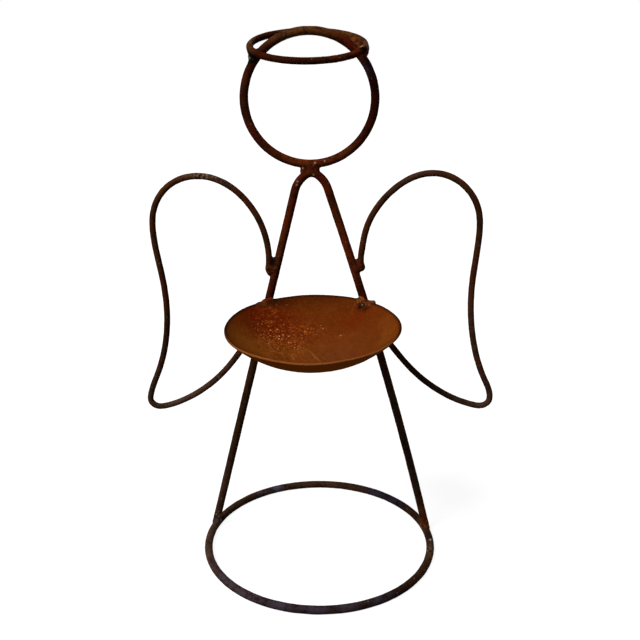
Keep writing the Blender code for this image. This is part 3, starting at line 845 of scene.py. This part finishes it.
dishScratches = [
    ((-5.1, 12.1), (-1.5, 5.6), 0.24), ((-1.5, 5.6), (1.2, -3.3), 0.24), ((-2.2, 6.9), (1.8, -1), 0.24),
    ((1.8, -1), (4.4, -8.0), 0.3), ((-0.5, 2), (5.5, -10), 0.18), ((-7.5, 9), (-5.5, -2), 0.16),
    ((-10.5, 13.7), (-8.6, 3.2), 0.2), ((-27.7, 7.9), (-24.3, 3.0), 0.26),
    ((-24.3, 3.0), (-16.2, -0.3), 0.2), ((-14, 4), (-11, -6), 0.2), ((3, 4), (7, -4), 0.14),
    ((-37.1, 34.7), (-30.0, 39.5), 0.16), ((-23.2, 40.9), (-18.3, 43.6), 0.12),
    ((-33.4, 34.3), (-28.7, 37.8), 0.16), ((-26.7, 36.5), (-24.1, 34.3), 0.16),
]


# as for the rods: size and height in mm, seed, and the levels between which pits show
dishRelief = {
    "wave": (26, 0.35, 21), "dents": (9, -0.10, 22), "skin": (3.1, 0.05, 23),
    "grain": (1.4, 0.03, 24), "pits": (2.3, -0.09, 25, (0.45, 0.8)),
}


def makeDish():
    # the profile turned about the upright, wavy towards the rim, then tilted and set in place
    profile, face = dishProfile()
    turn = fullTurn(dish["columns"])
    reach, rise = profile[:, 0][:, None], profile[:, 1][:, None]
    grid = np.stack([reach * np.cos(turn), reach * np.sin(turn), rise + 0 * turn], -1)
    out = (reach / dish["radius"]) ** 3
    wave = out * relief(grid * [1, 1, 0], *dishRelief["wave"])
    grid[..., 2] += wave + relief(grid, *dishRelief["dents"])
    grid[..., 2] += sum(relief(grid, *dishRelief[name]) for name in ("skin", "grain", "pits"))
    flat = grid[..., :2]
    faceGrid = np.repeat(face[:, None], dish["columns"], 1)
    top = faceGrid == 0
    x, y = flat[..., 0] / mm, flat[..., 1] / mm
    spread = np.hypot(x, y) / (dish["radius"] / mm)
    masks = {name: (1 - faceGrid) * patches(x, y, spots) for name, spots in dishSpots.items()}
    scratch = sum(fadeLine(flat, start, end, width) for start, end, width in dishScratches)
    masks["scratch"] = top * np.clip(scratch, 0, 1)
    front = smooth(-4, -34, y)
    # Painted light: the underside brighter orange than the top.
    masks["under"] = (faceGrid == 1) * 0.9
    # Painted highlight along the rim's front edge.
    masks["rim"] = (faceGrid == 0.5) * front * 0.9
    # Painted shade along the rim's edge, just inside it and under it, except at the front.
    border = (faceGrid == 0.5) * 0.9 + (faceGrid == 1) * smooth(0.97, 1.0, spread)
    masks["edge"] = (border + top * smooth(0.972, 1.0, spread) * 0.8) * (1 - front)
    place = grid @ dishTurn().T + dishPlace()
    piece = closedMesh("dish_rusted", place, False, masks)
    return finishPiece(piece, dishPaint(dishLook), "rusted_sheet", "dish")


makeDish()


# Welds

weldLook = {
    "deep": (24, 8, 3), "brown": (64, 23, 7), "heatAndHighlight": (116, 64, 24), "rust": (92, 38, 8),
    "sootAndShade": (10, 5, 3), "paintedGlint": (206, 186, 168), "ashAndPaintedLight": (84, 66, 62),
}
# How much of the dish's rust, of soot and painted shade, and of golden heat tint and painted highlights
# each bead shows
weldTints = {
    "neck_weld": (0.2, 0.0, 0.05), "halo_weld_left": (0.0, 0.95, 0.0),
    "halo_weld_right": (0.2, 0.25, 0.7), "wing_top_weld_left": (0.0, 0.25, 0.4),
    "wing_top_weld_right": (0.0, 0.1, 0.15), "wing_foot_weld_left": (0.0, 0.3, 0.1),
    "wing_foot_weld_right": (0.0, 0.3, 0.1), "foot_weld_left": (0.0, 0.7, 0.0),
    "foot_weld_right": (0.3, 0.0, 1.0), "dish_weld_left": (0.9, 0.1, 0.2),
    "dish_weld_right": (0.4, 0.1, 1.0),
}
weldSpots = [
    # Painted shade in the recess under the left wing weld, on the shaded left halo weld, and in pits at
    # the right halo and dish welds.
    ("sootAndShade", spot(-29.8, 16.3, 194.8), 3.0, 1.0), ("sootAndShade", spot(-30.2, 16.1, 192.8), 2.4, 1.0),
    ("sootAndShade", spot(23.3, 18.6, 323.0), 1.5, 1.0), ("sootAndShade", spot(-40.5, 14.5, 319.5), 5.0, 1.0),
    ("sootAndShade", spot(26.6, 15.8, 188.8), 1.6, 0.8), ("sootAndShade", spot(26.3, 9.8, 168.2), 2.2, 1.0),
    # Painted glints on the left halo weld, the neck and in the pit at the right dish weld.
    ("paintedGlint", spot(-41.5, 15.0, 317.4), 0.7, 0.9), ("paintedGlint", spot(-11.1, 16.1, 253.3), 0.45, 0.6),
    ("sootAndShade", spot(34.0, 7.3, 170.2), 1.5, 0.7), ("paintedGlint", spot(26.2, 9.8, 168.3), 0.5, 0.5),
    # A painted grey highlight on the left foot weld.
    ("ashAndPaintedLight", spot(-71.4, 15.6, 6.5), 2.6, 0.9),
]
beadSkin = {
    "rows": 60, "columns": 96, "tries": 16, "halvings": 8, "search": 18 * mm,
    "dropBlend": 1.6 * mm, "proud": 0.10 * mm, "sink": 0.55 * mm,
    "coarse": (2.3, 0.16), "fine": (1.0, 0.07),
}


def weldPaint(look):
    # Weld metal: brown or rusted, with soot that also paints shade, golden heat tint that also paints
    # highlights, and painted glints and a painted grey highlight
    paint = Paint("weld_metal")
    tones = {key: srgb(*value) for key, value in look.items()}
    cloud = paint.noise(2.4 * mm, 3.0, 0.55)
    grain = paint.noise(0.9 * mm, 3.0, 0.6)
    color = paint.blend(paint.mask("rust"), tones["brown"], tones["rust"])
    color = paint.blend(paint.step(cloud, 0.44, 0.62) * paint.mask("heatAndHighlight"), color, tones["heatAndHighlight"])
    color = paint.blend(paint.step(cloud, 0.50, 0.36) * 0.6, color, tones["deep"])
    color = paint.blend((paint.mask("sootAndShade") * (grain + 0.6)).clip(), color, tones["sootAndShade"])
    color = paint.blend(paint.step(grain, 0.40, 0.30) * 0.6, color, tones["sootAndShade"])
    flake = 1.6 * mm
    dots = paint.step(paint.cells(flake), 0.26, 0.14)
    chosen = paint.step(paint.cellTone(flake), 0.94, 0.97)
    color = paint.blend(paint.mask("ashAndPaintedLight") * (0.4 + cloud), color, tones["ashAndPaintedLight"])
    # Pale dots and painted glints.
    color = paint.blend((dots * chosen * 0.4 + paint.mask("paintedGlint")).clip(), color, tones["paintedGlint"])
    paint.height(cloud * 0.6 + grain * 0.4, 0.16 * mm)
    return paint.dress(color, (0.40 + grain * 0.35).clip(), gloss=0.02)


def rodDistance(points, path, radius):
    # from each point to the rod's skin, below zero inside it
    near = path[np.linalg.norm(path - points.mean(axis=0), axis=-1) < beadSkin["search"]]
    return np.linalg.norm(points[:, None] - near[None], axis=-1).min(axis=1) - radius


def dishDistance(points, *_):
    # from each point to the sheet: to its ball-shaped wall, or to the rim where it ends
    local = (points - dishPlace()) @ dishTurn()
    radius, level, rimTurn, _ = dishCurve()
    reach = np.hypot(local[:, 0], local[:, 1])
    turn = np.minimum(np.arctan2(reach, level - local[:, 2]), rimTurn)
    middle = radius + dish["sheet"] / 2
    across, down = reach - middle * np.sin(turn), local[:, 2] - level + middle * np.cos(turn)
    return np.hypot(across, down) - dish["sheet"] / 2


def runTogether(first, second, blend):
    # the nearer of two distances, less h^2 blend / 4, with h = 1 where both are alike
    near = np.maximum(blend - np.abs(first - second), 0) / blend
    return np.minimum(first, second) - near**2 * blend / 4


def beadGrid(kind, center, swing, skins, seed):
    # from the centre outwards in every direction, as far as the metal or the bead's room goes
    bead = beads[kind]
    rows, columns, tries = beadSkin["rows"], beadSkin["columns"], beadSkin["tries"]
    polar = (np.arange(rows) + 0.5) / rows * np.pi
    turn = fullTurn(columns)
    ball = np.stack([np.cos(polar)[:, None] + 0 * turn, np.sin(polar)[:, None] * np.cos(turn),
                     np.sin(polar)[:, None] * np.sin(turn)], -1).reshape(-1, 3)
    far = mm / np.linalg.norm(ball / np.array(bead["room"]), axis=-1)
    aim = ball @ swing.T
    blend = bead["blend"] * mm

    def metal(reach):
        points = center + aim * reach[:, None]
        depth = [measure(points, path, radius) for measure, path, radius in skins]
        solid = runTogether(depth[0], depth[1], blend)
        for place, radius in bead["balls"]:
            lump = np.linalg.norm(points - np.array(place) * mm, axis=-1) - radius * mm
            solid = runTogether(solid, lump, beadSkin["dropBlend"])
        proud = beadSkin["proud"] - beadSkin["sink"] * smooth(0.55, 1.0, reach / far)
        rough = relief(points, *beadSkin["coarse"], seed) + relief(points, *beadSkin["fine"], seed + 1)
        return solid - proud - rough * smooth(1.0, 0.5, reach / far)

    stops = np.linspace(0, 1, tries)
    inside = np.stack([metal(far * stop) < 0 for stop in stops[1:]], axis=1)
    first = np.where(inside.all(axis=1), tries - 1, np.argmin(inside, axis=1))
    low, high = far * stops[first], far * stops[np.minimum(first + 1, tries - 1)]
    for _ in range(beadSkin["halvings"]):
        middle = (low + high) / 2
        within = metal(middle) < 0
        low, high = np.where(within, middle, low), np.where(within, high, middle)
    return (center + aim * low[:, None]).reshape(rows, columns, 3)


def makeWeld(node, seed, paint):
    kind, center, turn, face = weldAt[node]
    side = -1 if node.endswith("left") else 1
    skinOf = {
        "body": (rodDistance, bodyPath(), stock["mainRadius"]),
        "neck": (rodDistance, headPath, stock["mainRadius"]),
        "wing": (rodDistance, wingPath(side), stock["thinRadius"]),
        "foot": (rodDistance, basePath, stock["mainRadius"]),
        "dish": (dishDistance, None, None),
        "halo": (rodDistance, haloPath, stock["thinRadius"]),
    }
    joined = kind.split("_")[0]
    skins = [skinOf["neck" if joined == "halo" else "body"], skinOf[joined]]
    swing = np.array(Matrix.Rotation(face, 3, "Z") @ Matrix.Rotation(-turn, 3, "Y"))
    grid = beadGrid(kind, np.array(center), swing, skins, seed)
    masks = spotMasks(grid, ("rust", "sootAndShade", "heatAndHighlight", "paintedGlint", "ashAndPaintedLight"), weldSpots)
    for mask, amount in zip(("rust", "sootAndShade", "heatAndHighlight"), weldTints[node]):
        masks[mask] = np.maximum(masks[mask], amount)
    return finishPiece(closedMesh(node + "_bead", grid, False, masks), paint, "weld_metal", node)


beadPaint = weldPaint(weldLook)
for seed, node in enumerate(weldAt, 40):
    makeWeld(node, seed, beadPaint)


# Camera, light and ground

view = {
    "from": (20.01, -518.32, 342.18), "look": (-0.03562522, 0.94339774, -0.32974467),
    "right": (0.99926389, 0.03832521, 0.00168893), "focalPixels": 881.8, "pixels": 640,
    "sensor": 36.0, "nearest": 10 * mm,
}


def makeCamera():
    camera = bpy.data.objects.new("camera", bpy.data.cameras.new("camera"))
    bpy.context.scene.collection.objects.link(camera)
    look, right = unit(np.array(view["look"])), unit(np.array(view["right"]))
    up = np.cross(right, look)
    turned = Matrix(np.stack([right, up, -look], axis=1).tolist()).to_4x4()
    turned.translation = (np.array(view["from"]) * mm + hub).tolist()
    camera.matrix_world = turned
    camera.data.sensor_width = view["sensor"]
    camera.data.lens = view["sensor"] * view["focalPixels"] / view["pixels"]
    camera.data.shift_x = -0.5 / view["pixels"]
    camera.data.shift_y = 0.5 / view["pixels"]
    camera.data.clip_start = view["nearest"]
    bpy.context.scene.camera = camera


lights = [
    {"name": "key", "toward": (-0.45, -0.45, 0.77), "strength": 4.0, "spread": 22},
    {"name": "fill", "toward": (0.35, -0.85, 0.40), "strength": 0.05, "spread": 60},
]


def makeLights():
    for light in lights:
        lamp = bpy.data.objects.new(light["name"], bpy.data.lights.new(light["name"], "SUN"))
        bpy.context.scene.collection.objects.link(lamp)
        lamp.data.energy = light["strength"]
        lamp.data.angle = math.radians(light["spread"])
        back = unit(np.array(light["toward"]))
        across = unit(np.cross([0, 0, 1.0], back))
        turned = Matrix(np.stack([across, np.cross(back, across), back], axis=1).tolist()).to_4x4()
        turned.translation = back.tolist()
        lamp.matrix_world = turned


ground = {"size": 12.0, "drop": 0.02 * mm, "tone": 0.2, "glow": 0.93, "ambient": 0.04}


def rayShare(nodes):
    # 1 for rays from the camera, a mirror or a glass, 0 for the light that falls on things
    share, *others = [nodes.node("LightPath", output="Is %s Ray" % kind)
                      for kind in ("Camera", "Glossy", "Transmission")]
    for other in others:
        share = share.do("MAXIMUM", share, other)
    return share


def makeWorld():
    world = bpy.data.worlds.new("studio")
    bpy.context.scene.world = world
    nodes = Nodes(world)
    background = nodes.tree.nodes["Background"]
    nodes.feed(background.inputs["Color"], (1, 1, 1, 1))
    strength = rayShare(nodes) * (1 - ground["ambient"]) + ground["ambient"]
    nodes.feed(background.inputs["Strength"], strength)


def makeFloor():
    data = bpy.data.meshes.new("floor")
    half = ground["size"] / 2
    data.from_pydata([(-half, -half, 0), (half, -half, 0), (half, half, 0), (-half, half, 0)],
                     [], [(0, 1, 2, 3)])
    floor = bpy.data.objects.new("floor", data)
    bpy.context.scene.collection.objects.link(floor)
    floor.location.z = -ground["drop"]
    paint = bpy.data.materials.new("pale_floor")
    nodes = Nodes(paint)
    sockets = nodes.tree.nodes["Principled BSDF"].inputs
    nodes.feed(sockets["Base Color"], (ground["tone"], ground["tone"], ground["tone"], 1))
    nodes.feed(sockets["Roughness"], 0.9)
    nodes.feed(sockets["Specular IOR Level"], 0.0)
    nodes.feed(sockets["Emission Color"], (1, 1, 1, 1))
    nodes.feed(sockets["Emission Strength"], rayShare(nodes) * ground["glow"])
    data.materials.append(paint)


makeCamera()
makeLights()
makeWorld()
makeFloor()
bpy.context.scene.view_settings.view_transform = "Standard"
print("set the camera, the lights and the ground")
